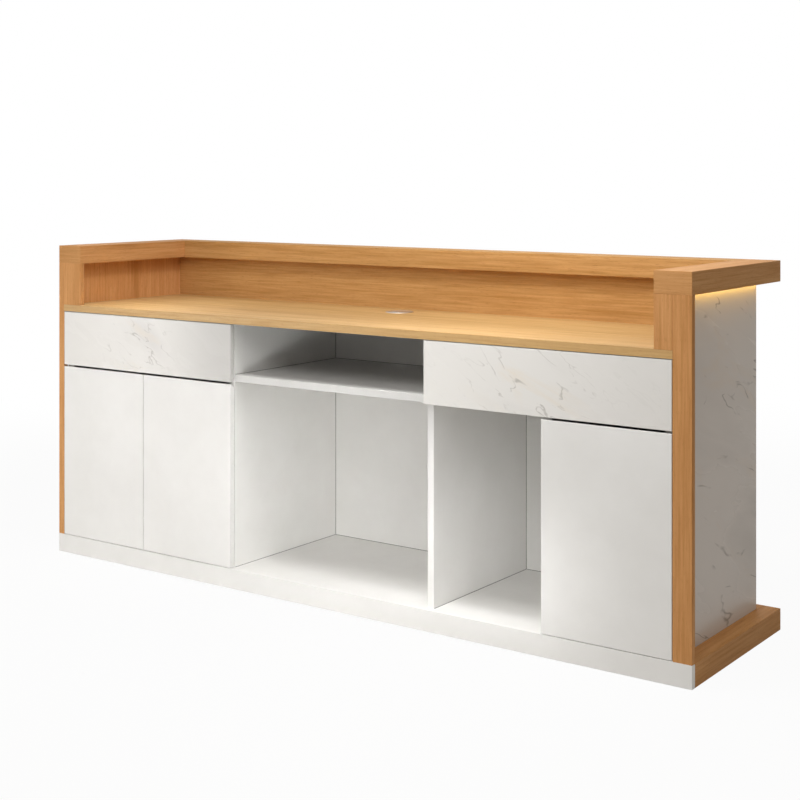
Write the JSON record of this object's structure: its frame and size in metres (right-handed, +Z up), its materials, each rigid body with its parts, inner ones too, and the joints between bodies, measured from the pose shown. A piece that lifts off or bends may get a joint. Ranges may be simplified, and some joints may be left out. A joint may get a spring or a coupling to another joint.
{
  "type": "reception desk",
  "caption": "Long reception desk with a raised wood cap rail, lit recessed marble-look cladding, drawers, cupboards with hinged doors, an open niche and a knee space with a shelf.",
  "frame": {"origin": "on the floor, under the middle of the desk's bounding box", "axes": "+X along the desk, to the right as the staff see it; +Y from the staff side to the visitor side; +Z up"},
  "size_m": [2.4, 0.6, 1.067],
  "materials": {
    "oak_veneer": "satin lacquered oak veneer on board",
    "white_board": "matt white melamine on board",
    "marble_laminate": "satin marble-look laminate on board",
    "drawer_birch": "lacquered birch board",
    "zinc_steel": "zinc-plated pressed steel",
    "nickel_steel": "nickel-plated pressed steel",
    "satin_aluminium": "satin anodised",
    "warm_light": "opal diffuser, warm white light"
  },
  "bodies": {
    "desk": {"plinth_front": "white_board", "bottom_board": "white_board", "base_left": "oak_veneer", "base_right": "oak_veneer", "base_visitor": "oak_veneer", "left_side_panel": "white_board", "right_side_panel": "white_board", "knee_left_panel": "white_board", "knee_right_panel": "white_board", "back_panel": "white_board", "niche_partition": "white_board", "knee_shelf": "white_board", "left_mid_board": "white_board", "right_mid_board": "white_board", "worktop": "oak_veneer", "left_post": "oak_veneer", "right_post": "oak_veneer", "left_block": "oak_veneer", "right_block": "oak_veneer", "left_upstand": "oak_veneer", "right_upstand": "oak_veneer", "back_upstand": "oak_veneer", "left_arm": "oak_veneer", "right_arm": "oak_veneer", "visitor_rail": "oak_veneer", "left_marble_panel": "marble_laminate", "right_marble_panel": "marble_laminate", "visitor_marble_panel": "marble_laminate", "led_strip": "warm_light", "grommet_sleeve": "satin_aluminium", "left_drawer_rail_left": "zinc_steel", "left_drawer_rail_right": "zinc_steel", "right_drawer_rail_left": "zinc_steel", "right_drawer_rail_right": "zinc_steel", "left_outer_hinge_arm_lower": "nickel_steel", "left_outer_hinge_arm_upper": "nickel_steel", "left_inner_hinge_arm_lower": "nickel_steel", "left_inner_hinge_arm_upper": "nickel_steel", "right_hinge_arm_lower": "nickel_steel", "right_hinge_arm_upper": "nickel_steel"},
    "left_drawer": {"left_drawer_front": "marble_laminate", "left_drawer_box": "drawer_birch", "left_drawer_bottom": "drawer_birch", "left_drawer_slider_left": "zinc_steel", "left_drawer_slider_right": "zinc_steel"},
    "right_drawer": {"right_drawer_front": "marble_laminate", "right_drawer_box": "drawer_birch", "right_drawer_bottom": "drawer_birch", "right_drawer_slider_left": "zinc_steel", "right_drawer_slider_right": "zinc_steel"},
    "left_outer_door": {"left_outer_door": "white_board", "left_outer_hinge_cup_lower": "nickel_steel", "left_outer_hinge_cup_upper": "nickel_steel"},
    "left_inner_door": {"left_inner_door": "white_board", "left_inner_hinge_cup_lower": "nickel_steel", "left_inner_hinge_cup_upper": "nickel_steel"},
    "right_door": {"right_door": "white_board", "right_hinge_cup_lower": "nickel_steel", "right_hinge_cup_upper": "nickel_steel"},
    "grommet_cap": {"grommet_cap": "satin_aluminium"}
  },
  "joints": [
    {"name": "left_drawer_slide", "type": "slide", "parent": "desk", "child": "left_drawer", "axis": [0, -1, 0], "range_m": [0, 0.33]},
    {"name": "right_drawer_slide", "type": "slide", "parent": "desk", "child": "right_drawer", "axis": [0, -1, 0], "range_m": [0, 0.33]},
    {"name": "left_outer_door_hinge", "type": "hinge", "parent": "desk", "child": "left_outer_door", "pos_m": [-1.167, -0.3, 0.3555], "axis": [0, 0, -1], "range_deg": [0, 105]},
    {"name": "left_inner_door_hinge", "type": "hinge", "parent": "desk", "child": "left_inner_door", "pos_m": [-0.397, -0.3, 0.3555], "axis": [0, 0, 1], "range_deg": [0, 105]},
    {"name": "right_door_hinge", "type": "hinge", "parent": "desk", "child": "right_door", "pos_m": [1.137, -0.3, 0.3555], "axis": [0, 0, 1], "range_deg": [0, 105]},
    {"name": "grommet_cap_turn", "type": "hinge", "parent": "desk", "child": "grommet_cap", "pos_m": [-0.036, 0.125, 0.865], "axis": [0, 0, 1], "continuous": true}
  ]
}
